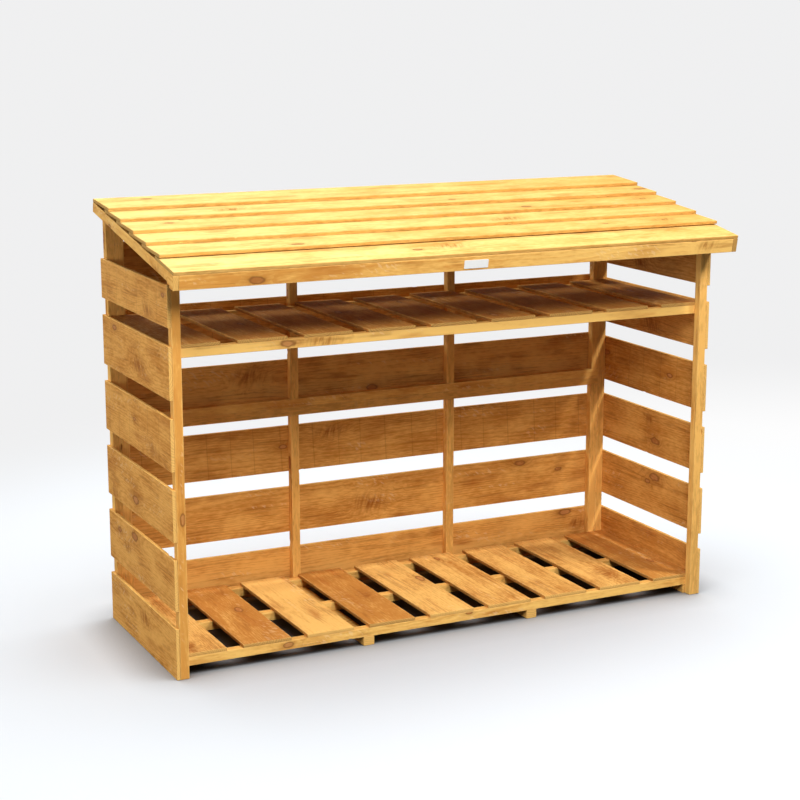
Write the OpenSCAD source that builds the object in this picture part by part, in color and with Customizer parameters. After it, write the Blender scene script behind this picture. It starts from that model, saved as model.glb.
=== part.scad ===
// Open-fronted log store in softwood: slatted side and back walls on a light square frame,
// a slatted floor and a high slatted shelf, and a lean-to roof of lapped boards that falls to the front.
// The side walls' posts stand on the ground, the back wall is two frames stacked between the back posts,
// and the roof rests on the posts and on the back wall's top rail.

/* [Overall] */
// Width over the boards of the side walls
store_w = 1766; // [1300:1:2400]
// Depth of the side walls, from the front posts' faces to the back posts' faces
store_d = 600; // [480:1:740]
// Height of the front posts at their front face
front_h = 1150; // [950:1:1500]

/* [Timber] */
// Thickness of the boards and slats
board_t = 10; // [8:0.5:16]
// Width of the wall boards and slats
board_w = 150; // [110:1:180]
// Gap between the boards of a wall
board_gap = 50; // [25:1:80]
// Side of the square frame timber
frame_t = 27; // [22:0.5:40]
// Distance between the middle studs, which the middle bearers and rafters line up with
mid_spacing = 554; // [400:1:800]

/* [Walls] */
// Drop from the top of the front posts to the top edge of the side walls
side_top_drop = 32; // [10:1:80]
// Narrowest strip that is worth nailing on as a wall's top board
least_strip = 30; // [20:1:60]
// Height of the lower frame of the back wall
lower_h = 613; // [450:1:760]

/* [Floor and shelf] */
// Width of the bearers on the ground
bearer_w = 35; // [27:1:60]
// Drop from the top of the front posts to the top of the shelf
shelf_drop = 202; // [120:1:400]

/* [Roof] */
// Slope of the rafters
roof_slope = 10.3; // [6:0.1:16]
// Run of the roof in front of the front posts, along the slope
eaves = 106; // [60:1:180]
// Width of the roof boards
roof_board_w = 150; // [146:1:180]
// Thickness of the fascia
fascia_t = 20; // [12:1:28]
// Height of the fascia, square to the slope
fascia_h = 42; // [36:1:70]
// Thickness of the bargeboards
barge_t = 16; // [10:1:24]
// Height of the bargeboards behind their noses
barge_h = 30; // [24:1:35]
// Length of the nose, where a bargeboard is as high as the fascia
nose_len = 28; // [15:1:60]
// Clearance between the bargeboards and the side walls
roof_clear = 2; // [1:0.5:8]

/* [Hidden] */

roof_boards = 6;
wall_colour = "#c98f45";
frame_colour = "#d9a860";
slat_colour = "#cf9a52";
roof_colour = "#e8c46e";

// Plan: X = 0 is the middle of the width, Y = 0 the front face of the front posts, Z = 0 the ground.
half_w = store_w / 2;
inner_half = half_w - board_t;
post_in = inner_half - frame_t;
stud_in = post_in - frame_t;
floor_front = frame_t;
floor_back = store_d - frame_t;

// Roof plane: S runs up the slope and N square to it, from the top of the front posts at their front face.
// The rafters' undersides lie at N = 0, so that they bear on the posts.
board_seat = frame_t;
roof_back = store_d / cos(roof_slope);
roof_len = eaves + roof_back;
roof_half = half_w + roof_clear + barge_t;
function roof_under(y) = front_h + y * tan(roof_slope);

// The roof boards' front edges are a pitch apart, and the back one ends flush with the rafters.
// A lapped board is tilted until it rests on the rafters at its back edge and on the board in front of it.
lap_pitch = (roof_len - roof_board_w) / (roof_boards - 1);
lap_run = lap_pitch - board_t * sin(atan(board_t / lap_pitch));
lap_tilt = atan(board_t / lap_run);

// The origin is on the ground, under the middle of the whole object.
front_edge = -eaves * cos(roof_slope) - (board_seat + board_t) * sin(roof_slope);
back_edge = store_d + board_t;
centre_y = (front_edge + back_edge) / 2;

// Rows of boards up a wall: as many whole pitches as leave room for at least the narrowest strip on top.
row_pitch = board_w + board_gap;
side_h = front_h - side_top_drop;
side_rows = floor((side_h - least_strip) / row_pitch) + 1;
back_top = roof_under(floor_back);
upper_h = back_top - lower_h;
function back_rows(h) = floor((h - frame_t - board_w) / row_pitch) + 1;

// Slats across the inside: as near to the walls' gap as whole slats allow.
inner_w = 2 * inner_half;
slat_count = round((inner_w + board_gap) / row_pitch);
slat_pitch = (inner_w - board_w) / (slat_count - 1);

floor_rail_z = frame_t;
shelf_rail_z = front_h - shelf_drop - board_t - frame_t;

// A plain rectangular piece between two opposite corners.
module block(low, high) {
    translate([low.x, low.y - centre_y, low.z])
        cube(high - low);
}

// A piece along X with the given outline in the plane of Y and Z.
module along_x(x0, x1, outline) {
    translate([x0, -centre_y, 0])
        rotate([90, 0, 90])
            linear_extrude(x1 - x0)
                polygon(outline);
}

// Moves what is drawn in the roof plane to its place.
module on_slope() {
    translate([0, -centre_y, front_h])
        rotate([roof_slope, 0, 0])
            children();
}

// The boards of one side wall: whole ones, and a strip ripped to the wall's height on top.
module side_wall_boards(x0) {
    for (row = [0 : side_rows - 1]) {
        z0 = row * row_pitch;
        z1 = min(z0 + board_w, side_h);
        block([x0, 0, z0], [x0 + board_t, store_d, z1]);
    }
}

module left_wall_boards() {
    color(wall_colour) side_wall_boards(-half_w);
}

module right_wall_boards() {
    color(wall_colour) side_wall_boards(inner_half);
}

// The boards on the outside of one frame of the back wall, from the bottom of that frame.
module back_boards(z0, rows) {
    for (row = [0 : rows - 1]) {
        z = z0 + row * row_pitch;
        block([-post_in, store_d, z], [post_in, back_edge, z + board_w]);
    }
}

module back_wall_lower_boards() {
    color(wall_colour) back_boards(0, back_rows(lower_h));
}

module back_wall_upper_boards() {
    color(wall_colour) back_boards(lower_h, back_rows(upper_h));
}

// A corner post of a side wall, cut to the slope of the roof on top.
module post(x0, y0) {
    y1 = y0 + frame_t;
    along_x(x0, x0 + frame_t, [[y0, 0], [y1, 0], [y1, roof_under(y1)], [y0, roof_under(y0)]]);
}

module left_front_post() {
    color(frame_colour) post(-inner_half, 0);
}

module right_front_post() {
    color(frame_colour) post(post_in, 0);
}

module left_back_post() {
    color(frame_colour) post(-inner_half, floor_back);
}

module right_back_post() {
    color(frame_colour) post(post_in, floor_back);
}

// A stud of the back wall, between the ground or a rail and the rail above it.
module stud(x0, z0, z1) {
    block([x0, floor_back, z0], [x0 + frame_t, store_d, z1]);
}

// Left edges of the studs, from left to right.
stud_x = [-post_in, -(mid_spacing + frame_t) / 2, (mid_spacing - frame_t) / 2, stud_in];

module lower_stud(i) {
    color(frame_colour) stud(stud_x[i], 0, lower_h - frame_t);
}

module upper_stud(i) {
    color(frame_colour) stud(stud_x[i], lower_h + frame_t, back_top - frame_t);
}

// A rail of the back wall, from back post to back post.
module back_rail(z0) {
    block([-post_in, floor_back, z0], [post_in, store_d, z0 + frame_t]);
}

module back_lower_top_rail() {
    color(frame_colour) back_rail(lower_h - frame_t);
}

module back_upper_bottom_rail() {
    color(frame_colour) back_rail(lower_h);
}

// The top rail is bevelled, so that the rafters bear on its whole width.
module back_upper_top_rail() {
    z0 = back_top - frame_t;
    color(frame_colour)
        along_x(-post_in, post_in,
            [[floor_back, z0], [store_d, z0], [store_d, roof_under(store_d)], [floor_back, back_top]]);
}

// Left edges of the bearers, from left to right.
bearer_x = [-inner_half, -(mid_spacing + bearer_w) / 2, (mid_spacing - bearer_w) / 2, inner_half - bearer_w];

module floor_bearer(i) {
    color(frame_colour) block([bearer_x[i], floor_front, 0], [bearer_x[i] + bearer_w, floor_back, floor_rail_z]);
}

// A rail of the floor or the shelf, from wall to wall.
module cross_rail(y0, z0) {
    color(frame_colour) block([-inner_half, y0, z0], [inner_half, y0 + frame_t, z0 + frame_t]);
}

module floor_front_rail() {
    cross_rail(floor_front, floor_rail_z);
}

module floor_middle_rail() {
    cross_rail((floor_front + floor_back - frame_t) / 2, floor_rail_z);
}

module floor_back_rail() {
    cross_rail(floor_back - frame_t, floor_rail_z);
}

module shelf_front_rail() {
    cross_rail(floor_front, shelf_rail_z);
}

module shelf_back_rail() {
    cross_rail(floor_back - frame_t, shelf_rail_z);
}

// Slats that run front to back on top of the rails.
module slats(z0) {
    for (i = [0 : slat_count - 1]) {
        x0 = -inner_half + i * slat_pitch;
        block([x0, floor_front, z0], [x0 + board_w, floor_back, z0 + board_t]);
    }
}

module floor_slats() {
    color(slat_colour) slats(floor_rail_z + frame_t);
}

module shelf_slats() {
    color(slat_colour) slats(shelf_rail_z + frame_t);
}

// Left edges of the rafters: over the posts at the ends, and over the middle studs between them.
rafter_x = [-inner_half, stud_x[1], stud_x[2], post_in];

module rafter(i) {
    color(frame_colour)
        on_slope()
            translate([rafter_x[i], fascia_t - eaves, 0])
                cube([frame_t, roof_len - fascia_t, board_seat]);
}

// The fascia stands square to the slope between the bargeboards, and closes the rafters' front ends.
module roof_fascia() {
    fascia_half = half_w + roof_clear;
    color(frame_colour)
        on_slope()
            translate([-fascia_half, -eaves, board_seat - fascia_h])
                cube([2 * fascia_half, fascia_t, fascia_h]);
}

// A bargeboard: its nose is as high as the fascia, and behind the nose it is cut back to its own height.
module bargeboard(x0) {
    top = board_seat;
    under = top - barge_h;
    nose_under = top - fascia_h;
    nose_end = nose_len - eaves;
    on_slope()
        translate([x0, 0, 0])
            rotate([90, 0, 90])
                linear_extrude(barge_t)
                    polygon([[-eaves, top], [-eaves, nose_under], [nose_end, nose_under],
                        [nose_end, under], [roof_back, under], [roof_back, top]]);
}

module left_bargeboard() {
    color(frame_colour) bargeboard(-roof_half);
}

module right_bargeboard() {
    color(frame_colour) bargeboard(roof_half - barge_t);
}

// A roof board, counted from the front. The front one lies flat, and each of the others is tilted over the one
// in front of it, turned about its lower back edge, which stays on the rafters.
module roof_board(number) {
    back = -eaves + (number - 1) * lap_pitch + roof_board_w;
    tilt = number == 1 ? 0 : lap_tilt;
    color(roof_colour)
        on_slope()
            translate([-roof_half, back, board_seat])
                rotate([-tilt, 0, 0])
                    translate([0, -roof_board_w, 0])
                        cube([2 * roof_half, roof_board_w, board_t]);
}

left_wall_boards();
right_wall_boards();
back_wall_lower_boards();
back_wall_upper_boards();
left_front_post();
right_front_post();
left_back_post();
right_back_post();
lower_stud(0);  // lower_stud_left_end
lower_stud(1);  // lower_stud_left_middle
lower_stud(2);  // lower_stud_right_middle
lower_stud(3);  // lower_stud_right_end
upper_stud(0);  // upper_stud_left_end
upper_stud(1);  // upper_stud_left_middle
upper_stud(2);  // upper_stud_right_middle
upper_stud(3);  // upper_stud_right_end
back_lower_top_rail();
back_upper_bottom_rail();
back_upper_top_rail();
floor_bearer(0);  // floor_bearer_left_end
floor_bearer(1);  // floor_bearer_left_middle
floor_bearer(2);  // floor_bearer_right_middle
floor_bearer(3);  // floor_bearer_right_end
floor_front_rail();
floor_middle_rail();
floor_back_rail();
floor_slats();
shelf_front_rail();
shelf_back_rail();
shelf_slats();
rafter(0);  // rafter_left_end
rafter(1);  // rafter_left_middle
rafter(2);  // rafter_right_middle
rafter(3);  // rafter_right_end
roof_fascia();
left_bargeboard();
right_bargeboard();
roof_board(1);  // roof_board_1
roof_board(2);  // roof_board_2
roof_board(3);  // roof_board_3
roof_board(4);  // roof_board_4
roof_board(5);  // roof_board_5
roof_board(6);  // roof_board_6
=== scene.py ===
# %% [markdown]
# This lesson dresses a log store: an open rack of sawn softwood boards with a lean-to roof. The CAD
# model already holds every piece at its true size and place, so it is loaded first and never moved.
# The dressed store has to stay inside its box.

# %% Load the packed frame
import random
from math import cos, pi, radians, sin

import bmesh
import bpy
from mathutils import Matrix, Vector, noise


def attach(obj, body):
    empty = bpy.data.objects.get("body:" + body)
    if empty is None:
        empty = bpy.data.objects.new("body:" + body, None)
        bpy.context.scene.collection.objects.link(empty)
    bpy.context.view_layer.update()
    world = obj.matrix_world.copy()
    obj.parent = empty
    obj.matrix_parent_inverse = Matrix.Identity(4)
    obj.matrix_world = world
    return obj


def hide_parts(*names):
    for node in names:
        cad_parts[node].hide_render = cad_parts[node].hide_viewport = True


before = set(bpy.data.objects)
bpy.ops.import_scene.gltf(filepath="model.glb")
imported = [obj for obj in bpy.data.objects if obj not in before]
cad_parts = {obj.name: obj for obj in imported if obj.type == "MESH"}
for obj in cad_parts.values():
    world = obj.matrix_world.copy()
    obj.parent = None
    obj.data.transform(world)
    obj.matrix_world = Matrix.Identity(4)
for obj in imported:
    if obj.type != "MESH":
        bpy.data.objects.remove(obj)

scene = bpy.context.scene
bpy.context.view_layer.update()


# %% [markdown]
# The camera stands to the left of the store and a little above its roof, as in the picture. Its
# place and its long lens were worked out from the corners of the wall boards, so the model's edges
# fall on the picture's edges. A camera could also be aimed with a constraint, but plain angles are
# easier to read and to copy.

# %% Camera
CAMERA_PLACE = (-2.4245, -4.8112, 1.8341)
CAMERA_TURN, CAMERA_TILT = 26.11, -12.17
LENS_MM, SENSOR_MM = 81.23, 36
SIGHT = 200


def new_object(name, data):
    """A new object in the scene."""
    made = bpy.data.objects.new(name, data)
    scene.collection.objects.link(made)
    return made


camera = new_object("camera", bpy.data.cameras.new("camera"))
camera.location = CAMERA_PLACE
camera.rotation_euler = (radians(90 + CAMERA_TILT), 0, radians(-CAMERA_TURN))
camera.data.sensor_width = SENSOR_MM
camera.data.lens = LENS_MM
camera.data.clip_end = SIGHT
scene.camera = camera
scene.view_settings.view_transform = "Standard"
print("camera", LENS_MM, "mm lens, turned", CAMERA_TURN, "degrees")


# %% [markdown]
# A merchant would sort the store's timber into four piles, and the record's material slots do the
# same: thin boards for the walls, boards for the roof, slats for the floor and shelf, and small
# square timber for everything else. Each pile gets its own finish later.

# %% Sort the timber
def named(start):
    """The nodes whose names begin alike."""
    return tuple(sorted(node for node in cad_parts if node.startswith(start)))


WALLS = ("left_wall_boards", "right_wall_boards",
         "back_wall_lower_boards", "back_wall_upper_boards")
SLATS = ("floor_slats", "shelf_slats")
ROOF = named("roof_board_")
PILES = {"wall_board": WALLS, "slat": SLATS, "roof_board": ROOF}
PILES["frame_timber"] = tuple(sorted(set(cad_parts) - set(WALLS + SLATS + ROOF)))
print({pile: len(nodes) for pile, nodes in PILES.items()})


# %% [markdown]
# A CAD node can hold several boards, such as the six of one wall. The mesh is welded, its flat sides
# are made whole again, and each loose island becomes a solid of its own. The islands are sorted by
# place, so that the first board is always the same one and its random marks stay the same in every
# run.

# %% Take a node apart into single boards
WELD = 1e-5
FLAT = radians(1)


def islands(mesh):
    """Lists of joined vertices, in an order that is the same in every run."""
    left = dict.fromkeys(mesh.verts)
    found = []
    while left:
        island, open_ends = {}, [next(iter(left))]
        while open_ends:
            vert = open_ends.pop()
            if vert not in island:
                island[vert] = left.pop(vert)
                open_ends += [edge.other_vert(vert) for edge in vert.link_edges]
        found.append(list(island))
    return found


def solids_of(node):
    """The solids of a CAD node, one bmesh each, with one face for each flat side."""
    whole = bmesh.new()
    whole.from_mesh(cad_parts[node].data)
    bmesh.ops.remove_doubles(whole, verts=whole.verts, dist=WELD)
    bmesh.ops.dissolve_limit(whole, angle_limit=FLAT, verts=whole.verts, edges=whole.edges)
    solids = []
    for island in islands(whole):
        solid = bmesh.new()
        copies = {vert: solid.verts.new(vert.co) for vert in island}
        for face in dict.fromkeys(f for vert in island for f in vert.link_faces):
            solid.faces.new([copies[vert] for vert in face.verts])
        bmesh.ops.recalc_face_normals(solid, faces=solid.faces)
        middle = sum((v.co for v in solid.verts), Vector()) / len(solid.verts)
        solids.append((tuple(round(c, 4) for c in middle), solid))
    whole.free()
    return [solid for _, solid in sorted(solids, key=lambda pair: pair[0])]


print("left wall:", len(solids_of("left_wall_boards")), "boards")


# %% [markdown]
# Grain follows the length of a board, so each solid needs directions of its own: along it, across
# its width and through its thickness. They come from its longest edges, which works just as well for
# the tilted roof boards as for the posts. Half its size in each direction tells the finish where the
# ends and the edges are. Square timber has two widths that are equally long, so it is also said which
# of them counts: the one from front to back, but for two pieces that lie the other way.

# %% Find the directions of a board
NEARLY_SQUARE = 0.05
SIDE_TO_SIDE, FRONT_TO_BACK, UPRIGHT = Vector((1, 0, 0)), Vector((0, 1, 0)), Vector((0, 0, 1))
SQUARE = {"left_front_post": SIDE_TO_SIDE, "back_upper_bottom_rail": UPRIGHT}


def directions(solid, square=FRONT_TO_BACK):
    """Middle, directions and half sizes of a solid: along, across and through."""
    runs = sorted((edge.verts[1].co - edge.verts[0].co for edge in solid.edges),
                  key=lambda run: (-run.length, -abs(run.dot(square))))
    along = runs[0].normalized()
    across = next(run for run in runs if abs(run.normalized().dot(along)) < NEARLY_SQUARE)
    across = across.normalized()
    along *= 1 if sum(along) > 0 else -1
    across *= 1 if sum(across) > 0 else -1
    axes = (along, across, along.cross(across))
    spans = [[vert.co.dot(axis) for vert in solid.verts] for axis in axes]
    middle = sum(((min(s) + max(s)) / 2 * axis for s, axis in zip(spans, axes)), Vector())
    return middle, axes, Vector([(max(s) - min(s)) / 2 for s in spans])


middle, axes, half = directions(solids_of("roof_board_2")[0])
print("second roof board:", [round(2 * h, 4) for h in half], "m, along",
      [round(a, 2) for a in axes[0]])


# %% [markdown]
# Here and there a sawn board has lost a chip from one of its arrises. Each board draws a few, with a
# place along the board, the arris that lost it, half its length and its depth.

# %% Draw the chips of a board
CHIP_COUNTS = (0, 1, 1, 2, 3)
CHIP_REACH = 0.9
CHIP_LENGTH = (0.005, 0.013)
CHIP_DEPTH = (0.0007, 0.0020)


def within(draw, reach):
    return draw.uniform(-reach, reach)


def either_side(draw):
    return draw.choice((-1, 1))


def chips_for(draw, half):
    """Place along the board, side, face, half length and depth of each missing chip."""
    return [(within(draw, CHIP_REACH) * half.x, either_side(draw), either_side(draw),
             draw.uniform(*CHIP_LENGTH), draw.uniform(*CHIP_DEPTH))
            for _ in range(draw.choice(CHIP_COUNTS))]


print("chips on a trial board:", len(chips_for(random.Random("trial"), half)))


# %% [markdown]
# No sawn edge is as sharp as a CAD edge. Handling and a pass of the sander leave a rounded arris of
# about a millimetre, and the saw wanders a little. The edges are bevelled, the board is cut into
# short lengths so that it has points to move, and the points near an arris are pushed inwards.
# Nothing is pushed outwards, so the board never grows past its CAD size. A displacement texture could
# do the same, but it would also bend the flat faces that touch.

# %% Soften and wear a board
WANDER = {"wall_board": 0.0008, "slat": 0.0006, "roof_board": 0.0006, "frame_timber": 0.0004}
ARRIS, ARRIS_STEPS, ROUND = 0.0013, 2, 0.5
STATION, ON_CUT = 0.045, 1e-6
CHIP_STATIONS = (-1, -0.5, 0, 0.5, 1)
SIDE_WAVES, FACE_WAVES, APART = 9, 7, 5
RIPPLE_SEEDS = (0, 100)
FACE_WANDER, FACE_CHIP, DEEPEST = 0.4, 0.8, 0.5


def ripple(*place):
    """Soft noise between 0 and 1."""
    return 0.5 + 0.5 * noise.noise(place)


def cut_lengths(solid, middle, along, places):
    for place in places:
        bmesh.ops.bisect_plane(solid, geom=solid.verts[:] + solid.edges[:] + solid.faces[:],
                               dist=ON_CUT, plane_co=middle + along * place, plane_no=along)


def wear(solid, draw, wander, square=FRONT_TO_BACK):
    """Rounds the arrises of a solid, then lets the saw wander and takes its chips out."""
    middle, axes, half = directions(solid, square)
    bmesh.ops.bevel(solid, geom=solid.edges[:], offset=ARRIS, segments=ARRIS_STEPS, profile=ROUND,
                    affect="EDGES")
    chips = chips_for(draw, half)
    count = int(2 * half.x / STATION)
    places = [half.x * (2 * (i + 1) / (count + 1) - 1) for i in range(count)]
    places += [place + part * length for place, _, _, length, _ in chips for part in CHIP_STATIONS]
    cut_lengths(solid, middle, axes[0], [p for p in places if abs(p) < half.x - 3 * ARRIS])
    seed = draw.uniform(*RIPPLE_SEEDS)
    for vert in solid.verts:
        u, v, w = ((vert.co - middle).dot(axis) for axis in axes)
        side, face = (1 if v > 0 else -1), (1 if w > 0 else -1)
        at_side, at_face = half.y - abs(v) < 2 * ARRIS, half.z - abs(w) < 2 * ARRIS
        from_side = from_face = 0
        if at_side:
            from_side = wander * ripple(u * SIDE_WAVES, side * APART + seed, 0)
        if at_face:
            from_face = FACE_WANDER * wander * ripple(u * FACE_WAVES, seed, face * APART)
        for place, chip_side, chip_face, length, depth in chips:
            here = at_side and at_face and (side, face) == (chip_side, chip_face)
            if here and abs(u - place) < length:
                lost = depth * (1 - ((u - place) / length) ** 2)
                from_side, from_face = from_side + lost, from_face + FACE_CHIP * lost
        from_face = min(from_face, DEEPEST * half.z)
        vert.co -= axes[1] * side * from_side + axes[2] * face * from_face
    return middle, axes, half


trial = solids_of("roof_fascia")[0]
wear(trial, random.Random("trial"), WANDER["frame_timber"])
print("fascia after wear:", len(trial.faces), "faces")


# %% [markdown]
# The finish is painted by nodes, and they have to know which board they are on. Each point therefore
# carries its place in the board's own directions, and each board carries a few numbers of its own:
# half its size, where the heart of the tree lay, how light it is and whether that changes towards one
# end, whether the saw's lines show on it, and where its knots are. On many boards, how light it is
# holds painted light and shade, and every change towards one end is a painted falloff of the light.
# Separate materials for every board would look the same, but seventy of them would be hard to look
# after.

# %% Marks that each board carries
MARKS = ("grain", "half", "heart", "board", "lean", "knot_a", "knot_b", "knot_c")
KNOT_SIZES = {"knot_a": (0.006, 0.010), "knot_b": (0.010, 0.020), "knot_c": (0.004, 0.007)}
KNOT_REACH = (0.92, 0.75)
FAR_AWAY = Vector((50.0, 0.0, 0.01))
HEART_REACH, HEART_DEPTH, HEART_DRIFT = 0.8, (0.02, 0.07), 0.02
SEEDS, TONE_SPREAD = (0, 40), 0.08


def marks_for(draw, half, tone, lean, sawn, knot_share):
    """The numbers of one board, by the name of the mark. A knot that it lacks is far away."""
    own = {"half": half, "lean": Vector((lean, 0, 0))}
    for name, sizes in KNOT_SIZES.items():
        place = Vector((within(draw, KNOT_REACH[0]) * half.x, within(draw, KNOT_REACH[1]) * half.y,
                        draw.uniform(*sizes)))
        own[name] = place if draw.random() < knot_share else FAR_AWAY
    own["heart"] = Vector((within(draw, HEART_REACH) * half.y,
                           either_side(draw) * draw.uniform(*HEART_DEPTH),
                           within(draw, HEART_DRIFT)))
    own["board"] = Vector((draw.uniform(*SEEDS), tone + within(draw, TONE_SPREAD), sawn))
    return own


print("marks of a board:", ", ".join(MARKS))


# %% [markdown]
# Some knots catch the eye in the picture, so they keep their places: round ones with a rim, and smoky
# ones where a branch runs through at a slant. They are listed in the store's own frame, in metres,
# with a size. A board takes a listed knot when the knot lies within its length and width.

# %% Knots with a place of their own
ROUND_KNOTS = {
    "left_wall_boards": ((-0.883, 0.079, 0.443, 0.011), (-0.883, 0.101, 0.326, 0.012),
                         (-0.883, -0.214, 1.086, 0.006)),
    "right_wall_boards": ((0.873, 0.009, 0.449, 0.010), (0.873, 0.006, 0.327, 0.012)),
    "back_wall_lower_boards": ((0.558, 0.35, 0.332, 0.009), (0.740, 0.35, 0.138, 0.010),
                               (-0.660, 0.35, 0.310, 0.007)),
    "back_wall_upper_boards": ((0.005, 0.35, 0.647, 0.009),),
    "floor_slats": ((-0.573, 0.076, 0.064, 0.010), (0.058, 0.109, 0.064, 0.011)),
    "floor_front_rail": ((-0.535, -0.222, 0.042, 0.008),),
    "shelf_front_rail": ((-0.524, -0.222, 0.926, 0.009),),
    "roof_fascia": ((-0.664, -0.360, 1.130, 0.010),),
    "roof_board_2": ((-0.492, -0.222, 1.191, 0.008),),
    "roof_board_4": ((0.372, 0.011, 1.233, 0.008),),
    "roof_board_5": ((0.870, 0.141, 1.257, 0.009),),
}
SMOKY_KNOTS = {
    "left_wall_boards": ((-0.883, -0.080, 1.023, 0.017), (-0.883, 0.010, 0.855, 0.022),
                         (-0.883, -0.098, 0.629, 0.018), (-0.883, 0.030, 0.098, 0.016)),
    "right_wall_boards": ((0.873, 0.050, 0.515, 0.010),),
    "back_wall_lower_boards": ((-0.009, 0.35, 0.262, 0.024), (0.791, 0.35, 0.095, 0.014),
                               (-0.142, 0.35, 0.516, 0.018)),
    "back_wall_upper_boards": ((-0.416, 0.35, 0.720, 0.020),),
    "floor_slats": ((0.618, -0.100, 0.064, 0.022),),
    "roof_fascia": ((0.791, -0.355, 1.143, 0.012),),
    "roof_board_1": ((-0.047, -0.284, 1.180, 0.018),),
    "roof_board_2": ((0.742, -0.185, 1.198, 0.013),),
    "roof_board_4": ((0.808, 0.040, 1.239, 0.013),),
    "roof_board_5": ((-0.549, 0.143, 1.257, 0.014),),
}


def listed_knot(table, node, middle, axes, half):
    """The listed knot that lies on this board, or None."""
    for *place, size in table.get(node, ()):
        u, v, _ = ((Vector(place) - middle).dot(axis) for axis in axes)
        if abs(u) < half.x and abs(v) < half.y:
            return Vector((u, v, size))
    return None


print("listed knots:", sum(len(k) for t in (ROUND_KNOTS, SMOKY_KNOTS) for k in t.values()))


# %% [markdown]
# Each CAD node becomes one piece: its boards are worn one by one and written into a single mesh
# together with their marks. A Weighted Normal modifier keeps the broad faces flat to the light while
# the small arrises stay round.

# %% Build a piece from a node
KNOT_SHARE = {"wall_board": 0.45, "slat": 0.35, "roof_board": 0.6, "frame_timber": 0.2}
BROAD_FACES = 100


def timber_piece(node, pile, tones=(), lean=0.0, sawn=()):
    """One mesh for a node, with its boards' marks as attributes."""
    verts, faces, marks = [], [], {name: [] for name in MARKS}
    for index, solid in enumerate(solids_of(node)):
        draw = random.Random(f"{node} {index}")
        square = SQUARE.get(node, FRONT_TO_BACK)
        middle, axes, half = wear(solid, draw, WANDER[pile], square)
        tone = tones[index] if index < len(tones) else 0
        own = marks_for(draw, half, tone, lean, 1.0 if index in sawn else 0.0, KNOT_SHARE[pile])
        own["knot_a"] = listed_knot(ROUND_KNOTS, node, middle, axes, half) or own["knot_a"]
        own["knot_b"] = listed_knot(SMOKY_KNOTS, node, middle, axes, half) or own["knot_b"]
        solid.verts.index_update()
        faces += [[len(verts) + vert.index for vert in face.verts] for face in solid.faces]
        for vert in solid.verts:
            verts.append(vert.co.copy())
            marks["grain"] += [(vert.co - middle).dot(axis) for axis in axes]
            for name in MARKS[1:]:
                marks[name].extend(own[name])
        solid.free()
    mesh = bpy.data.meshes.new(node + ".wood")
    mesh.from_pydata(verts, [], faces)
    for name in MARKS:
        attribute = mesh.attributes.new(name, "FLOAT_VECTOR", "POINT")
        attribute.data.foreach_set("vector", marks[name])
    mesh.polygons.foreach_set("use_smooth", [True] * len(mesh.polygons))
    piece = new_object(node + ".wood", mesh)
    piece.modifiers.new("flat_faces", "WEIGHTED_NORMAL").weight = BROAD_FACES
    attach(piece, "root")
    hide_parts(node)
    return piece


print("share of boards with a knot", KNOT_SHARE)


# %% [markdown]
# No two boards of a stack have the same colour. Some slats in the picture are clearly darker than
# their neighbours, so these boards get a tone of their own, above nought for a paler board and below
# it for a darker one. Many other tones are painted light and shade. The shelf slats are darker as
# painted shade under the roof, and two boards of the right wall are darker as painted shade. The back
# walls' tones are painted light and shade. The shelf's front rail is paler as painted light, and the
# left front post is darker and the right one paler as a painted falloff of the light from the right.
# The right bargeboard is made much darker. A lean lets the tone change along a board, by so much in
# each metre; on the roof boards and the fascia it is a painted falloff of the light. A few wall
# boards show the lines that the saw left.

# %% Build all the timber
TONES_AND_PAINTED_LIGHT = {
    "floor_slats": (0.10, -0.34, 0.38, -0.44, 0.18, 0.04, 0.02, 0.0, -0.36),
    "left_wall_boards": (0.14, 0.12, 0.04, 0.03, 0.03, 0.05),
    # Painted shade: two of the right wall's boards are made darker.
    "right_wall_boards": (0.0, 0.0, -0.10, -0.10, 0.0, 0.0),
    # The back walls' tones are painted light and shade.
    "back_wall_lower_boards": (0.22, 0.04, -0.08),
    "back_wall_upper_boards": (0.16, 0.0, -0.05),
    # Painted shade under the roof: all the shelf slats are made darker.
    "shelf_slats": (-0.40,) * 9,
    # Painted falloff of the light from the right: the left front post darker, the right one paler.
    "left_front_post": (-0.52,),
    "right_front_post": (0.20,),
    # Painted light: the shelf's front rail is made paler.
    "shelf_front_rail": (0.45,),
    "floor_front_rail": (0.10,),
    "right_bargeboard": (-0.9,),
    # The roof boards' tone sets the level of their painted light.
    **{board: (-0.08,) for board in ROOF},
}
# The leans are a painted falloff of the light: the roof boards paler to the left, the fascia paler to
# the right.
PAINTED_FALLOFF = {"roof_fascia": 0.45, **{board: -0.22 for board in ROOF}}
SAWN = {"left_wall_boards": (3, 5), "right_wall_boards": (3,),
        "back_wall_lower_boards": (2,), "back_wall_upper_boards": (1,)}

pieces = {}
for pile, nodes in PILES.items():
    pieces[pile] = [timber_piece(node, pile, TONES_AND_PAINTED_LIGHT.get(node, ()), PAINTED_FALLOFF.get(node, 0.0),
                                 SAWN.get(node, ())) for node in nodes]
    print(pile, sum(len(piece.data.polygons) for piece in pieces[pile]), "faces")


# %% [markdown]
# Wood is a solid thing: the lines on a face, an edge and an end are all cuts through the same rings.
# So the finish is worked out in the board's own space and not on a flat picture. To keep the sums
# readable, a small class stands for one socket: adding or multiplying two of them adds the Math node.

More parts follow.
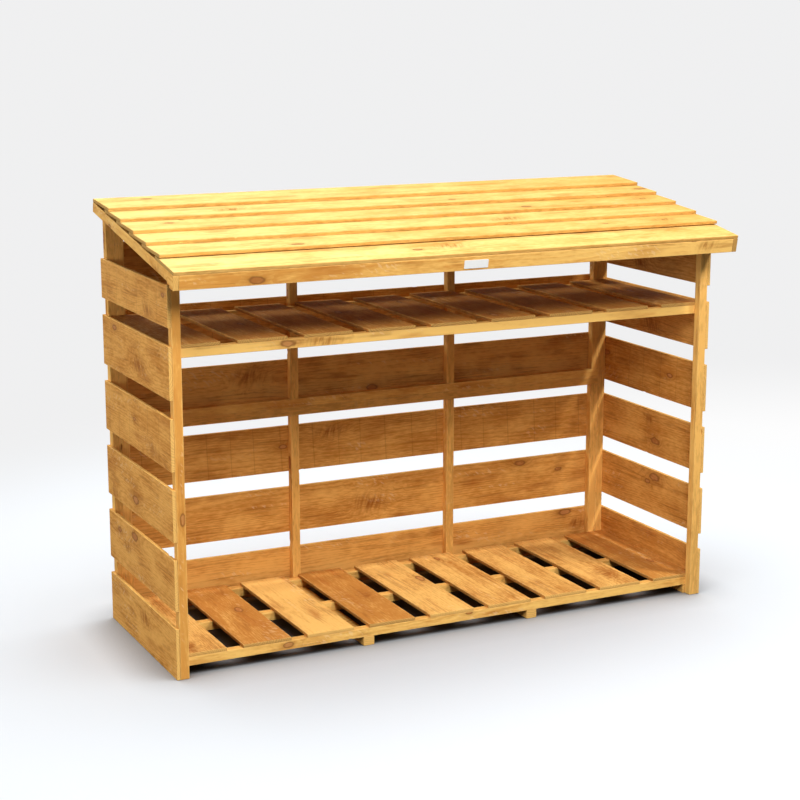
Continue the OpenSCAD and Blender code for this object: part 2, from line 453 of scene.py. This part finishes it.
# %% Write shader maths as Python
class Wire:
    """One output socket of a finish. Sums of wires and numbers add Math nodes."""

    def __init__(self, finish, socket):
        self.finish, self.socket = finish, socket

    def other(self, output):
        return Wire(self.finish, self.socket.node.outputs[output])

    def __add__(self, value):
        return self.finish.maths("ADD", self, value)

    def __radd__(self, value):
        return self.finish.maths("ADD", value, self)

    def __sub__(self, value):
        return self.finish.maths("SUBTRACT", self, value)

    def __rsub__(self, value):
        return self.finish.maths("SUBTRACT", value, self)

    def __mul__(self, value):
        return self.finish.maths("MULTIPLY", self, value)

    def __rmul__(self, value):
        return self.finish.maths("MULTIPLY", value, self)

    def __truediv__(self, value):
        return self.finish.maths("DIVIDE", self, value)

    def __rtruediv__(self, value):
        return self.finish.maths("DIVIDE", value, self)

    def __pow__(self, value):
        return self.finish.maths("POWER", self, value)

    def __abs__(self):
        return self.finish.maths("ABSOLUTE", self)


print("shader maths ready")


# %% [markdown]
# Everything else goes through one method that makes a node, sets it and joins its sockets. A few
# short helpers are built on it: a soft step, a bell, a mix of two colours, the marks of the mesh and
# noise at a place that may be stretched.

# %% A finish made of nodes
class Finish:
    """A material made of nodes."""

    def __init__(self, name):
        self.material = bpy.data.materials.new(name)
        self.material.use_nodes = True
        self.tree = self.material.node_tree
        self.tree.nodes.clear()

    def node(self, kind, settings, sockets, output=0):
        """Adds a node, sets it, then gives its sockets their values or links."""
        made = self.tree.nodes.new(kind)
        for name, value in settings.items():
            if name == "stops":
                ramp = made.color_ramp.elements
                while len(ramp) < len(value):
                    ramp.new(1)
                for stop, (place, level) in zip(ramp, value):
                    stop.position, stop.color = place, (level, level, level, 1)
            else:
                setattr(made, name, value)
        for name, value in sockets.items():
            if isinstance(value, Wire):
                self.tree.links.new(value.socket, made.inputs[name])
            elif isinstance(value, tuple) and made.inputs[name].type == "RGBA":
                made.inputs[name].default_value = (*value, 1)
            else:
                made.inputs[name].default_value = value
        return Wire(self, made.outputs[output]) if made.outputs else None

    def maths(self, operation, *values):
        return self.node("ShaderNodeMath", {"operation": operation}, dict(enumerate(values)))

    def smooth(self, value, low, high):
        """0 at low and 1 at high, with a soft step between."""
        return self.node("ShaderNodeMapRange", {"interpolation_type": "SMOOTHSTEP"},
                         {"Value": value, "From Min": low, "From Max": high})

    def bell(self, distance, width):
        """1 at no distance, falling away over the width."""
        return self.maths("EXPONENT", (distance / width) ** 2 * -1)

    def mix(self, share, first, second):
        """A colour between two colours."""
        return self.node("ShaderNodeMix", {"data_type": "RGBA"}, {0: share, 6: first, 7: second},
                         output=2)

    def mark(self, name):
        """The three numbers of a mark that the mesh carries."""
        vector = self.node("ShaderNodeAttribute", {"attribute_name": name}, {}, output="Vector")
        parts = self.node("ShaderNodeSeparateXYZ", {}, {0: vector})
        return parts, parts.other(1), parts.other(2)

    def cloud(self, x, y, z, detail):
        """Soft noise between about 0 and 1 at a place that may be stretched."""
        place = self.node("ShaderNodeCombineXYZ", {}, {0: x, 1: y, 2: z})
        return self.node("ShaderNodeTexNoise", {},
                         {"Vector": place, "Scale": 1.0, "Detail": detail})

    def mottle(self, scale):
        """Soft noise in the object's own space, for small plain pieces."""
        place = self.node("ShaderNodeTexCoord", {}, {}, output="Object")
        return self.node("ShaderNodeTexNoise", {},
                         {"Vector": place, "Scale": scale, "Detail": 3.0})

    def surface(self, sockets):
        shader = self.node("ShaderNodeBsdfPrincipled", {}, sockets)
        self.node("ShaderNodeOutputMaterial", {}, {"Surface": shader})
        return self.material


print("a finish has", ", ".join(name for name in vars(Finish) if not name.startswith("_")))


# %% [markdown]
# The sums need the place of a point on its board. It is read from the marks once, with the distance
# to the board's edges, faces and ends. Each board's seed shifts it along the noise, so that no two
# boards are alike. Clouds of noise are drawn out along the grain, so they are given by their waves in
# a metre along the board and across it.

# %% The place of a point on its board
RAGGED_LEAST, RAGGED_SPAN, RAGGED_WAVES = 0.6, 0.8, (50, 50)


class Place:
    """Where a point lies on its board, and that board's own numbers."""

    def __init__(self, wood):
        self.wood = wood
        self.along, self.across, self.through = wood.mark("grain")
        half_length, half_width, half_thick = wood.mark("half")
        seed, tone, self.sawn = wood.mark("board")
        self.tone = tone + self.along * wood.mark("lean")[0]
        self.shifted = self.along + seed
        self.to_end = half_length - abs(self.along)
        self.to_edge = half_width - abs(self.across)
        self.to_face = half_thick - abs(self.through)
        self.to_bottom = half_thick + self.through
        self.ragged = RAGGED_LEAST + RAGGED_SPAN * self.cloud(RAGGED_WAVES, 1.0)

    def cloud(self, waves, detail):
        """Noise in the board's own space."""
        along, cross = waves
        return self.wood.cloud(self.shifted * along, self.across * cross, self.through * cross,
                               detail)

    def to_knot(self, name):
        """How far along and across a knot is, and its size."""
        knot_along, knot_across, size = self.wood.mark(name)
        return self.along - knot_along, self.across - knot_across, size


print("places ready")


# %% [markdown]
# The wood of the store is fast-grown softwood with a honey-coloured treatment. Its rings are circles
# round the heart of the tree, so a board cut beside the heart shows tall arches on its face, straight
# lines on its edges and arcs on its ends. No two years are alike, so the rings are wide in some
# places and narrow in others. Knots are branches that the board cuts through. The rings swing round
# them, and they come in two kinds: round ones with a dark rim, and long smoky ones where the saw met
# the branch at a slant.

# %% Rings and knots
RING, UNEVEN_YEARS = 0.006, 1.6
RING_STOPS = ((0.0, 0.0), (0.45, 0.12), (0.86, 1.0), (1.0, 0.1))
SWAY, SWAY_WAVES = 0.06, (1.6, 7)
YEAR_WAVES, YEAR_DRIFT = 70, 0.4
ROUND_STRETCH, ROUND_PUSH, ROUND_REACH, HALO_REACH = 0.45, 1.5, 2.0, 2.2
CORE_STEP, RIM_PLACE, RIM_WIDTH = (1.0, 0.8), 0.95, 0.2
SMOKY_STRETCH, SMOKY_SLANT, SMOKY_REACH, SMOKE_REACH = 0.5, 0.3, 1.8, 1.3
WISP_WAVES, WISP_STEP, WISP_LEAST, WISP_SPAN = (95, 18), (0.38, 0.64), 0.3, 0.7


def round_knot(wood, at, name):
    """How far a round knot pushes the rings aside, and where its halo, core and rim are."""
    along, across, size = at.to_knot(name)
    far = ((along * ROUND_STRETCH) ** 2 + across ** 2) ** 0.5 * at.ragged / size
    return (size * ROUND_PUSH * wood.bell(far, ROUND_REACH), wood.bell(far, HALO_REACH),
            wood.smooth(far, *CORE_STEP), wood.bell(far - RIM_PLACE, RIM_WIDTH))


def smoky_knot(wood, at):
    """The same push for a slanting branch, and the dark wisps that it leaves across the board."""
    along, across, size = at.to_knot("knot_b")
    leaning = along - across * SMOKY_SLANT
    far = ((leaning * SMOKY_STRETCH) ** 2 + across ** 2) ** 0.5 * at.ragged / size
    wisps = wood.cloud(leaning * WISP_WAVES[0], at.across * WISP_WAVES[1], 0.0, 3.0)
    smoke = WISP_LEAST + WISP_SPAN * wood.smooth(wisps, *WISP_STEP)
    return size * wood.bell(far, SMOKY_REACH), wood.bell(far, SMOKE_REACH) * smoke


def all_knots(wood, at):
    """The push of a board's knots together, and masks for their halo, core, rim and smoke."""
    push_a, *masks_a = round_knot(wood, at, "knot_a")
    push_c, *masks_c = round_knot(wood, at, "knot_c")
    push_b, smoke = smoky_knot(wood, at)
    halo, core, rim = (wood.maths("MAXIMUM", *pair) for pair in zip(masks_a, masks_c))
    return push_a + push_b + push_c, halo, core, rim, smoke


def ring_lines(wood, at, push):
    """Dark late wood between 0 and 1, ring by ring round the heart of the tree."""
    heart_across, heart_through, drift = wood.mark("heart")
    sideways = at.across - heart_across + (at.cloud(SWAY_WAVES, 2.0) - 0.5) * SWAY
    radius = (sideways ** 2 + (at.through - heart_through) ** 2) ** 0.5 + at.along * drift + push
    uneven = wood.cloud(radius * YEAR_WAVES, at.shifted * YEAR_DRIFT, 0.0, 1.0)
    years = radius / RING + UNEVEN_YEARS * uneven
    return wood.node("ShaderNodeValToRGB", {"stops": RING_STOPS}, {0: wood.maths("FRACT", years)})


print("rings", RING * 1000, "mm apart")


# %% [markdown]
# Over the rings lie broad streaks and blotches, a few of them reddish, and thin dark threads of
# resin. The saw leaves lines across some boards about a hand's width apart, and torn grain shows as
# rows of pale slanting flecks. All of these are masks between 0 and 1 that mix one colour into the
# next, so each can be turned up or down by itself.

# %% Streaks, threads, saw lines and flecks
STREAK_WAVES, FIBRE_WAVES, PATCH_WAVES = (2.6, 20), (40, 190), (8, 15)
RED_WAVES, RED_STEP = (4.0, 22), (0.54, 0.76)
RESIN_WAVES, RESIN_STEP, RESIN_PATCH = (1.6, 40), (0.06, 0.0), (-0.06, 0.14)
SAW_LINES, SAW_SLANT, SAW_STEP = 11, 0.5, (0.030, 0.008)
SAW_WAVES, SAW_UNEVEN = 5, 0.7
ROW_WAVES, ROW_STEP = (0.7, 13), (0.06, 0.02)
SPELL_WAVES, SPELL_SHIFT, SPELL_STEP = (3.5, 6), 4.0, (0.46, 0.60)
FLECK_WAVES, FLECK_SLANT, FLECK_STEP = (85, 60), 90, (0.54, 0.66)


def figure(wood, at):
    """Streaks, fibres and patches about nought, and masks for reddish wood and threads of resin."""
    streak = at.cloud(STREAK_WAVES, 3.0) - 0.5
    fibre = at.cloud(FIBRE_WAVES, 4.0) - 0.5
    patch = at.cloud(PATCH_WAVES, 6.0) - 0.5
    red = wood.smooth(at.cloud(RED_WAVES, 5.0), *RED_STEP)
    line = wood.smooth(abs(at.cloud(RESIN_WAVES, 1.0) - 0.5), *RESIN_STEP)
    return streak, fibre, patch, red, line * wood.smooth(patch, *RESIN_PATCH)


def saw_lines(wood, at):
    """Thin lines across a sawn board, with uneven steps between them."""
    uneven = SAW_UNEVEN * wood.cloud(at.shifted * SAW_WAVES, 0.0, 0.0, 0.0)
    steps = at.shifted * SAW_LINES + at.across * SAW_SLANT + uneven
    return wood.smooth(abs(wood.maths("FRACT", steps) - 0.5), *SAW_STEP) * at.sawn


def torn_grain(wood, at):
    """Rows of slanting flecks that follow the grain."""
    row = wood.cloud(at.shifted * ROW_WAVES[0], at.across * ROW_WAVES[1], 0.0, 1.0)
    spell = wood.cloud(at.shifted * SPELL_WAVES[0], at.across * SPELL_WAVES[1], SPELL_SHIFT, 1.0)
    fleck = wood.cloud(at.shifted * FLECK_WAVES[0] + at.across * FLECK_SLANT,
                       at.across * FLECK_WAVES[1], 0.0, 1.0)
    return (wood.smooth(abs(row - 0.5), *ROW_STEP) * wood.smooth(spell, *SPELL_STEP)
            * wood.smooth(fleck, *FLECK_STEP))


print("saw lines", round(1000 / SAW_LINES), "mm apart")


# %% [markdown]
# One function mixes these into the finish of a pile. Its colours are the pale early wood, the amber
# late wood, the russet of the heartwood, and the sawn ends and edges, which took up the treatment
# differently. Where the edge colour is much darker, as on the slats and the roof boards, it is
# painted shade. The arrises are rubbed paler, and that paler colour is also a painted highlight along
# them. A darker underside, used for the roof's boards, is painted shade. Apart from this painted
# light and shade, all are the colours of the boards in even light, so they stay right under any
# lamps. The treatment dries matt, so the gloss is low and the bump of the grain breaks it up.

# %% Sawn softwood
KNOT_CORE = (0.40, 0.140, 0.034)
KNOT_HEART = (0.54, 0.235, 0.075)
KNOT_RIM = (0.17, 0.055, 0.015)
# The second colour, for rubbed arrises, is also a painted highlight along them.
TORN, RUBBED_HIGHLIGHT = (0.95, 0.66, 0.34), (0.95, 0.60, 0.19)
AMBER = {"plain": 0.46, "late": 0.30, "streak": 0.8, "fibre": 1.1, "patch": 0.95, "less": 0.08}
SHARE = {"red": 0.6, "threads": 0.45, "kerf": 0.25, "torn": 0.4, "halo": 0.45, "smoke": 0.9,
         "core": 0.8, "rim": 0.65, "edge": 0.75, "rubbed": 0.35, "end": 0.8}
DARK = {"threads": 0.7, "kerf": 0.7, "halo": 0.75, "bottom": 0.6, "edge": 0.75, "end": 0.6}
FACE_STEP, EDGE_STEP, RUBBED_HIGHLIGHT_STEP = (0.0020, 0.0008), (0.0022, 0.0010), (0.0040, 0.0005)
CORE_FIGURE, EDGE_FIGURE, END_LATE, RUBBED_HIGHLIGHT_UNEVEN = (-0.05, 0.12), (-0.1, 0.2), 0.6, 0.006
BUMP = {"late": 0.4, "fibre": 0.8, "kerf": 0.6, "rim": 0.5, "torn": 0.5}
BUMP_STRENGTH, BUMP_HEIGHT = 0.5, 0.0010
ROUGH = {"plain": 0.72, "fibre": 0.3, "core": 0.12, "end": 0.15}
GLOSS = 0.07


def darker(colour, share):
    return tuple(c * share for c in colour)


def sawn_softwood(name, pale, amber, russet, ends, edges, contrast=1.0, underside_shade=0.0):
    """The finish of one pile of boards."""
    wood = Finish(name)
    at = Place(wood)
    push, halo, core, rim, smoke = all_knots(wood, at)
    late = ring_lines(wood, at, push)
    streak, fibre, patch, red, threads = figure(wood, at)
    kerf, torn = saw_lines(wood, at), torn_grain(wood, at)

    shape = (late * AMBER["late"] + streak * AMBER["streak"] + fibre * AMBER["fibre"]
             + patch * AMBER["patch"] - AMBER["less"])
    in_amber = wood.smooth(AMBER["plain"] + shape * contrast - at.tone, 0.0, 1.0)
    heart = wood.mix(wood.smooth(fibre + patch, *CORE_FIGURE), KNOT_CORE, KNOT_HEART)
    in_edge = wood.smooth(fibre + streak, *EDGE_FIGURE)
    in_end = wood.smooth(late * END_LATE - at.tone, 0.0, 1.0)
    on_bottom, on_edge = wood.smooth(at.to_bottom, *FACE_STEP), wood.smooth(at.to_edge, *EDGE_STEP)
    on_end = wood.smooth(at.to_end, *FACE_STEP)
    # Rubbed arrises, painted paler as wear and as a painted highlight.
    to_arris = at.to_edge + at.to_face + (fibre + patch) * RUBBED_HIGHLIGHT_UNEVEN
    rubbed = wood.smooth(to_arris, *RUBBED_HIGHLIGHT_STEP)
    paleness = pale[0] / RUBBED_HIGHLIGHT[0]

    colour = wood.mix(in_amber, pale, amber)
    for share, layer in (
            (red * SHARE["red"] * contrast, russet),
            (threads * SHARE["threads"] * contrast, darker(russet, DARK["threads"])),
            (kerf * SHARE["kerf"], darker(russet, DARK["kerf"])),
            (torn * SHARE["torn"], darker(TORN, paleness)),
            (halo * SHARE["halo"] + smoke * SHARE["smoke"], darker(russet, DARK["halo"])),
            (core * SHARE["core"], heart),
            (rim * SHARE["rim"], KNOT_RIM),
            # Painted shade: the underside is made darker.
            (on_bottom * underside_shade, darker(amber, DARK["bottom"])),
            # Edge colour: on the slats and the roof boards it is much darker, as painted shade on the
            # edge faces.
            (on_edge * SHARE["edge"], wood.mix(in_edge, edges, darker(edges, DARK["edge"]))),
            # Paler arrises: rubbed wear and a painted highlight.
            (rubbed * SHARE["rubbed"], darker(RUBBED_HIGHLIGHT, paleness)),
            (on_end * SHARE["end"], wood.mix(in_end, ends, darker(ends, DARK["end"])))):
        colour = wood.mix(share, colour, layer)

    height = (late * BUMP["late"] + fibre * BUMP["fibre"] - kerf * BUMP["kerf"]
              - rim * BUMP["rim"] - torn * BUMP["torn"])
    normal = wood.node("ShaderNodeBump", {}, {"Height": height, "Strength": BUMP_STRENGTH,
                                              "Distance": BUMP_HEIGHT})
    rough = (ROUGH["plain"] + fibre * ROUGH["fibre"] - core * ROUGH["core"]
             + on_end * ROUGH["end"])
    return wood.surface({"Base Color": colour, "Roughness": rough, "Normal": normal,
                         "Specular IOR Level": GLOSS})


print("layers of colour:", ", ".join(SHARE))


# %% [markdown]
# The four piles came from different stacks. The frame timber is the palest, and the slats and the
# wall boards are browner. The roof boards are much paler and yellower on top, which is painted light,
# and darker underneath, which is painted shade. Each pile gets its own set of colours, and every
# piece of the pile shares one finish.

# %% Finish the four piles
FINISHES = {
    "wall_board": sawn_softwood(
        "treated_wall_board", pale=(0.82, 0.42, 0.105), amber=(0.53, 0.210, 0.036),
        russet=(0.38, 0.110, 0.015), ends=(0.88, 0.52, 0.15), edges=(0.84, 0.46, 0.11)),
    "frame_timber": sawn_softwood(
        "treated_frame_timber", pale=(0.95, 0.57, 0.155), amber=(0.70, 0.315, 0.064),
        russet=(0.50, 0.165, 0.024), ends=(0.80, 0.46, 0.13), edges=(0.84, 0.44, 0.11)),
    # The slats' dark edge colour is painted shade on their side faces.
    "slat": sawn_softwood(
        "treated_slat", pale=(0.84, 0.48, 0.135), amber=(0.50, 0.200, 0.038),
        russet=(0.40, 0.115, 0.018), ends=(0.74, 0.42, 0.12), edges=(0.48, 0.21, 0.045)),
    # The roof boards' pale yellow top colour is painted light; their dark edges and underside are
    # painted shade.
    "roof_board": sawn_softwood(
        "treated_roof_board", pale=(0.93, 0.72, 0.260), amber=(0.72, 0.41, 0.095),
        russet=(0.52, 0.20, 0.030), ends=(0.46, 0.24, 0.065), edges=(0.60, 0.28, 0.060),
        contrast=0.85, underside_shade=0.75),
}
for pile, material in FINISHES.items():
    for piece in pieces[pile]:
        piece.data.materials.append(material)
    print(material.name, len(material.node_tree.nodes), "nodes")


# %% [markdown]
# Under the roof's front edge the fascia carries a small white plate, and here it is blank. It is a
# thin tablet with rounded corners that lies flat on the fascia, which leans with the roof. So it is
# drawn in the fascia's own directions, at the middle of its length, and needs no angle of its own.

# %% Blank plate on the fascia
PLATE_WIDTH, PLATE_HEIGHT, PLATE_THICK = 0.077, 0.0245, 0.0012
PLATE_CORNER, CORNER_STEPS = 0.0022, 4
PLATE_ARRIS = 0.0004
PLATE_RISE = -0.0026
ENAMEL, ENAMEL_DULL, HAZE_SCALE = (0.86, 0.86, 0.84), (0.74, 0.74, 0.71), 90.0


def plate_outline():
    """Points round the plate, with a few steps at each rounded corner."""
    points = []
    for quarter, (x, y) in enumerate(((1, 1), (-1, 1), (-1, -1), (1, -1))):
        for step in range(CORNER_STEPS + 1):
            turn = radians(90 * (quarter + step / CORNER_STEPS))
            points.append((x * (PLATE_WIDTH / 2 - PLATE_CORNER) + PLATE_CORNER * cos(turn),
                           y * (PLATE_HEIGHT / 2 - PLATE_CORNER) + PLATE_CORNER * sin(turn)))
    return points


def blank_plate():
    """The plate, flat on the front of the fascia."""
    middle, axes, half = directions(solids_of("roof_fascia")[0])
    outward = axes[2] if axes[2].y < 0 else -axes[2]
    base = middle + outward * half.z + axes[1] * PLATE_RISE
    tablet = bmesh.new()
    rim = [tablet.verts.new(base + axes[0] * x + axes[1] * y) for x, y in plate_outline()]
    front = bmesh.ops.extrude_face_region(tablet, geom=[tablet.faces.new(rim)])["geom"]
    raised = [part for part in front if isinstance(part, bmesh.types.BMVert)]
    bmesh.ops.translate(tablet, vec=outward * PLATE_THICK, verts=raised)
    bmesh.ops.recalc_face_normals(tablet, faces=tablet.faces)
    edges = [edge for edge in tablet.edges
             if all((v.co - base).dot(outward) > PLATE_THICK / 2 for v in edge.verts)]
    bmesh.ops.bevel(tablet, geom=edges, offset=PLATE_ARRIS, segments=ARRIS_STEPS, profile=ROUND,
                    affect="EDGES")
    plate = new_object("blank_plate", bpy.data.meshes.new("blank_plate"))
    tablet.to_mesh(plate.data)
    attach(plate, "root")
    return plate


enamel = Finish("white_enamel")
haze = enamel.mottle(HAZE_SCALE)
white = enamel.mix(haze * 0.5, ENAMEL, ENAMEL_DULL)
plate = blank_plate()
plate.data.materials.append(
    enamel.surface({"Base Color": white, "Roughness": 0.30 + haze * 0.2}))
print("plate", [round(d, 4) for d in plate.dimensions])


# %% [markdown]
# Boards like these are put on with small lost-head nails, two wherever a board crosses a support.
# They are driven from the outside until they are flush, so only dull little domes show. Each place is
# worked out from the boards and supports themselves, in the board's own directions. A particle system
# could scatter nails too, but it would not know where the supports are.

# %% Places of the nails
NAIL_ROWS, ROOF_NAIL_ROWS = (-0.55, 0.55), (-0.6, 0.25)
NAILED = {
    "left_wall_boards": ("left_front_post", "left_back_post"),
    "right_wall_boards": ("right_front_post", "right_back_post"),
    "back_wall_lower_boards": named("lower_stud_"),
    "back_wall_upper_boards": named("upper_stud_"),
    "floor_slats": ("floor_front_rail", "floor_middle_rail", "floor_back_rail"),
    "shelf_slats": ("shelf_front_rail", "shelf_back_rail"),
    **{board: named("rafter_") for board in ROOF},
}


def nail_places():
    """Where each nail is, with the way it faces and the way its board runs."""
    for node, supports in NAILED.items():
        rows = ROOF_NAIL_ROWS if node in ROOF else NAIL_ROWS
        for board in solids_of(node):
            middle, axes, half = directions(board)
            for support in supports:
                beyond = directions(solids_of(support)[0])[0] - middle
                outward = axes[2] if beyond.dot(axes[2]) < 0 else -axes[2]
                along = beyond.dot(axes[0])
                if abs(along) < half.x:
                    for row in rows:
                        place = middle + axes[0] * along + axes[1] * row * half.y
                        yield place + outward * half.z, outward, axes[0]


places = list(nail_places())
print("nails", len(places))


# %% [markdown]
# A nail head is a low dome of three rings of points round its middle, and the last ring goes down
# into the wood. All the heads are one mesh, because they are all alike and there are many of them.

# %% Nail heads
NAIL_RADIUS, NAIL_DOME, NAIL_SIDES = 0.0018, 0.0003, 10
NAIL_RINGS = ((0.6, 0.25), (1.0, 1.0), (1.0, 3.0))
ZINC, RUST, STAIN_SCALE, STAIN_STEP = (0.42, 0.34, 0.24), (0.24, 0.13, 0.06), 240.0, (0.35, 0.65)


def nail_heads(places):
    """One mesh of domes. Each ring is given by its spread and by how far it is sunk."""
    verts, faces = [], []
    for place, outward, along in places:
        side, first = outward.cross(along), len(verts)
        verts.append(place)
        for spread, sunk in NAIL_RINGS:
            for step in range(NAIL_SIDES):
                turn = 2 * pi * step / NAIL_SIDES
                verts.append(place - outward * NAIL_DOME * sunk
                             + (along * cos(turn) + side * sin(turn)) * NAIL_RADIUS * spread)
        for step in range(NAIL_SIDES):
            here, after = first + 1 + step, first + 1 + (step + 1) % NAIL_SIDES
            faces.append((first, here, after))
            for ring in range(len(NAIL_RINGS) - 1):
                up, down = NAIL_SIDES * ring, NAIL_SIDES * (ring + 1)
                faces.append((here + up, here + down, after + down, after + up))
    mesh = bpy.data.meshes.new("nail_heads")
    mesh.from_pydata(verts, [], faces)
    mesh.polygons.foreach_set("use_smooth", [True] * len(faces))
    nails = new_object("nail_heads", mesh)
    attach(nails, "root")
    return nails


zinc = Finish("dull_zinc")
stain = zinc.mottle(STAIN_SCALE)
metal = zinc.mix(zinc.smooth(stain, *STAIN_STEP), ZINC, RUST)
nails = nail_heads(places)
nails.data.materials.append(
    zinc.surface({"Base Color": metal, "Roughness": 0.4 + stain * 0.3, "Metallic": 0.7}))
print("nail heads", len(nails.data.polygons), "faces")


# %% [markdown]
# The picture was taken in a plain studio: a lamp from the right and above whose light falls through
# the side wall's gaps, a broad one from the front, one from the left for the side wall, and one from
# behind that shines through the open back on to the shelf. Two weak low lamps open the shade under
# the eaves and on the back. Each lamp is given by the level it would put on a white card at the
# store, so that their sum stays near one and the colours come out about as they are written.

# %% Studio light
AIM = Vector((0, 0, 0.6))


def softbox(name, turn, height, distance, size, level):
    """A square lamp that gives a white card facing it at the store the wanted level."""
    lamp = bpy.data.lights.new(name, "AREA")
    lamp.size = size
    lamp.energy = level * pi ** 2 * distance ** 2
    stand = new_object(name, lamp)
    turn, height = radians(turn), radians(height)
    out = Vector((sin(turn) * cos(height), -cos(turn) * cos(height), sin(height)))
    stand.location = AIM + out * distance
    stand.rotation_euler = (-out).to_track_quat("-Z", "Y").to_euler()
    stand.visible_camera = False
    print(name, round(lamp.energy), "W")
    return stand


store_lamps = [
    softbox("right_lamp", turn=42, height=50, distance=10.0, size=1.2, level=0.72),
    softbox("front_lamp", turn=-13, height=40, distance=6.0, size=1.8, level=0.72),
    softbox("low_front_lamp", turn=8, height=2, distance=6.0, size=1.2, level=0.05),
    softbox("left_lamp", turn=-80, height=9, distance=5.0, size=1.6, level=0.44),
    softbox("back_lamp", turn=194, height=52, distance=8.0, size=1.8, level=0.50),
    softbox("low_back_lamp", turn=186, height=2, distance=7.0, size=2.0, level=0.24),
]


# %% [markdown]
# The floor is pale and plain, and runs far enough back to be the backdrop as well. Close to the store
# it shows the store's shadow. Further away, what the camera sees of it is a painted pool of light,
# white at the front right, that turns into an even pale tone. The empty world has the same tone, so
# no horizon shows. Where the floor is hemmed in, as between the slats, it is seen almost black as
# painted shade: an Ambient Occlusion node finds those places. Light that the floor throws back at the
# store is kept low.

# %% Pale floor
FLOOR_REACH, FLOOR_SIDES = 60, 64
WHITE, BACKDROP = (1.0, 1.0, 1.0), (0.87, 0.87, 0.875)
FLOOR_SEEN, FLOOR_PAINTED_SHADE, FLOOR_THROWN = (0.83, 0.87, 0.91), (0.06,) * 3, (0.10,) * 3
HEMMED_IN = 0.15
SHADOW_FADE = (1.3, 3.0)
# Painted pool of light: the far floor is seen white round this spot and fades to the backdrop tone.
PAINTED_LIGHT_SPOT, PAINTED_LIGHT_FADE = (1.5, -1.0, 0.0), (2.2, 4.6)


def seen_directly(finish):
    """1 for what the camera sees, straight or in a reflection."""
    path = finish.node("ShaderNodeLightPath", {}, {}, output="Is Camera Ray")
    mirrored = finish.maths("MAXIMUM", path.other("Is Glossy Ray"),
                            path.other("Is Transmission Ray"))
    return finish.maths("MAXIMUM", path, mirrored)


disc = bmesh.new()
bmesh.ops.create_circle(disc, cap_ends=True, segments=FLOOR_SIDES, radius=FLOOR_REACH)
floor = new_object("floor", bpy.data.meshes.new("floor"))
disc.to_mesh(floor.data)

paint = Finish("pale_floor")
seen = seen_directly(paint)
spot = paint.node("ShaderNodeNewGeometry", {}, {}, output="Position")
away = paint.node("ShaderNodeVectorMath", {"operation": "LENGTH"}, {0: spot}, output="Value")
from_painted_light = paint.node("ShaderNodeVectorMath", {"operation": "DISTANCE"},
                         {0: spot, 1: PAINTED_LIGHT_SPOT}, output="Value")
# Painted shade: where the Ambient Occlusion node finds the floor hemmed in, it is seen almost black.
open_sky = paint.node("ShaderNodeAmbientOcclusion", {}, {"Distance": HEMMED_IN}, output="AO")
shade = paint.mix(seen, FLOOR_THROWN, paint.mix(open_sky, FLOOR_PAINTED_SHADE, FLOOR_SEEN))
matt = paint.node("ShaderNodeBsdfDiffuse", {}, {"Color": shade})
# Painted pool of light on the far floor, white near the spot at the front right.
tone = paint.mix(paint.smooth(from_painted_light, *PAINTED_LIGHT_FADE), WHITE, BACKDROP)
glow = paint.node("ShaderNodeEmission", {}, {"Color": tone})
blend = paint.node("ShaderNodeMixShader", {},
                   {0: paint.smooth(away, *SHADOW_FADE) * seen, 1: matt, 2: glow})
paint.node("ShaderNodeOutputMaterial", {}, {"Surface": blend})
floor.data.materials.append(paint.material)
print("floor", FLOOR_REACH, "m, backdrop", BACKDROP)


# %% [markdown]
# The world does two things. What the camera sees of it is the backdrop's tone, and the light that it
# gives is a weak even fill, as from the walls of the studio.

# %% World
FILL = 0.07


class Sky(Finish):
    """The same way of making nodes, for the world."""

    def __init__(self, name):
        self.world = bpy.data.worlds.new(name)
        self.world.use_nodes = True
        self.tree = self.world.node_tree
        self.tree.nodes.clear()


sky = Sky("studio")
dim = sky.node("ShaderNodeBackground", {}, {"Color": WHITE, "Strength": FILL})
bright = sky.node("ShaderNodeBackground", {}, {"Color": BACKDROP, "Strength": 1.0})
choose = sky.node("ShaderNodeMixShader", {}, {0: seen_directly(sky), 1: dim, 2: bright})
sky.node("ShaderNodeOutputWorld", {}, {"Surface": choose})
scene.world = sky.world
print("world", scene.world.name, "fill", FILL)


# %% [markdown]
# In the studio a very large overhead lamp lights the floor, and the store's shadow in it is soft and
# lies close round the store. On the store itself it would only make the roof glare. Light linking in
# Cycles keeps the two apart: the overhead lamp reaches the floor alone, and the store's lamps leave
# the floor out.

# %% Overhead lamp for the floor
overhead = softbox("overhead_lamp", turn=60, height=86, distance=3.0, size=6.0, level=3.8)
only_floor = bpy.data.collections.new("only_floor")
only_floor.objects.link(floor)
overhead.light_linking.receiver_collection = only_floor
without_floor = bpy.data.collections.new("without_floor")
without_floor.objects.link(floor)
without_floor.collection_objects[0].light_linking.link_state = "EXCLUDE"
for lamp in store_lamps:
    lamp.light_linking.receiver_collection = without_floor
print("floor lit by", overhead.name)


# %% [markdown]
# The dressed store has to keep the size of the CAD model.
